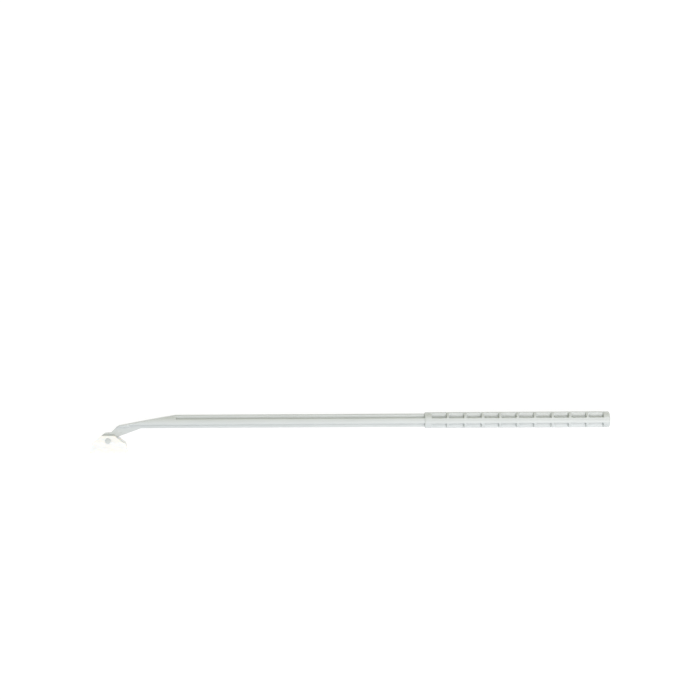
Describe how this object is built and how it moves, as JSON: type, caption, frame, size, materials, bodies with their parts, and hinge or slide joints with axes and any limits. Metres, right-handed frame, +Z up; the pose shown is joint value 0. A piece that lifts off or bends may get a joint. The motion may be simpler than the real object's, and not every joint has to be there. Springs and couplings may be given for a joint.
{
  "type": "cell scraper",
  "caption": "Slim moulded handle with a ringed round grip, a cross-ribbed shaft and an offset neck, holding a soft trapezoid blade that swivels on a pin to lift cells off a culture surface.",
  "frame": {"origin": "middle of the bounding box, on the surface that the grip lies on", "axes": "+X along the handle from the blade to the butt; -Y from the handle's axis towards the scraping edge; +Z up, square to the flat of the neck and blade, along the pin"},
  "size_m": [0.25, 0.019, 0.0076],
  "materials": {
    "handle_plastic": "satin, as moulded",
    "blade_elastomer": "matte, as moulded"
  },
  "bodies": {
    "handle": {"handle": "handle_plastic"},
    "blade": {"blade": "blade_elastomer"}
  },
  "joints": [
    {"name": "blade_swivel", "type": "hinge", "parent": "handle", "child": "blade", "pos_m": [-0.1158, -0.00315, 0.0038], "axis": [0, 0, -1], "range_deg": [0, 60]}
  ]
}
